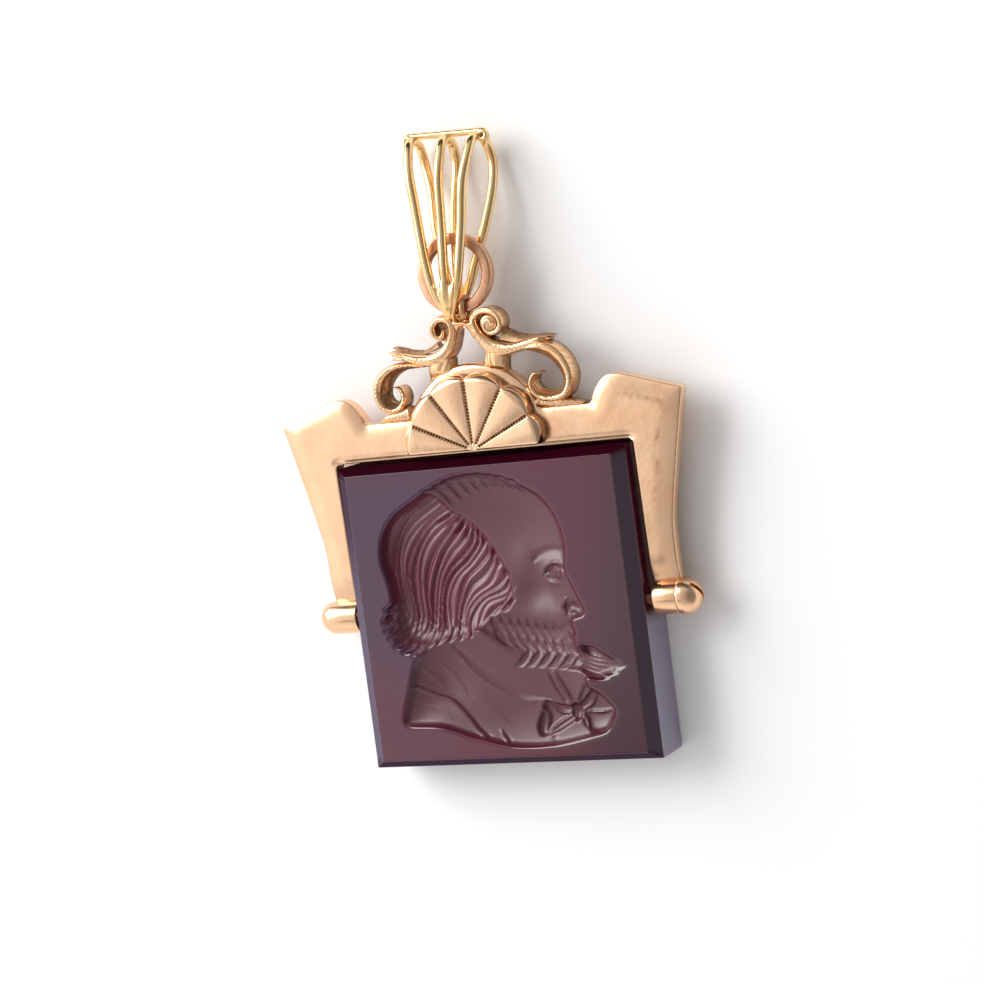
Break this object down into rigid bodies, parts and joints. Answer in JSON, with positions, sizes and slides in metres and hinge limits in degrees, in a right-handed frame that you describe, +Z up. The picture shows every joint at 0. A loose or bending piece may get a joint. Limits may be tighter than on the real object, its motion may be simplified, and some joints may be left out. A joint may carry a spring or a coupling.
{
  "type": "swivel fob pendant",
  "caption": "Square swivel fob pendant: a carved stone turning in a gold yoke with shell and scrolls, a jump ring and a fanned wire bail.",
  "frame": {"origin": "on the surface it lies on, in the middle of the outline", "axes": "+X along the swivel axis, from the closed barrel to the screw; +Y from the stone to the bail; +Z up, out of the carved face"},
  "size_m": [0.0316, 0.0456, 0.0047],
  "materials": {
    "gold": "polished antique gold, worn",
    "red_gold": "polished reddish gold",
    "carnelian": "polished dark red-brown carnelian, matt in the carving"
  },
  "bodies": {
    "mount_frame": {"yoke": "gold", "pivot_screw": "gold", "pivot_pin": "gold", "jump_ring": "red_gold", "bail": "gold"},
    "stone": {"stone": "carnelian"}
  },
  "joints": [
    {"name": "stone_swivel", "type": "hinge", "parent": "mount_frame", "child": "stone", "pos_m": [0, -0.01162, 0.00225], "axis": [1, 0, 0], "continuous": true}
  ]
}
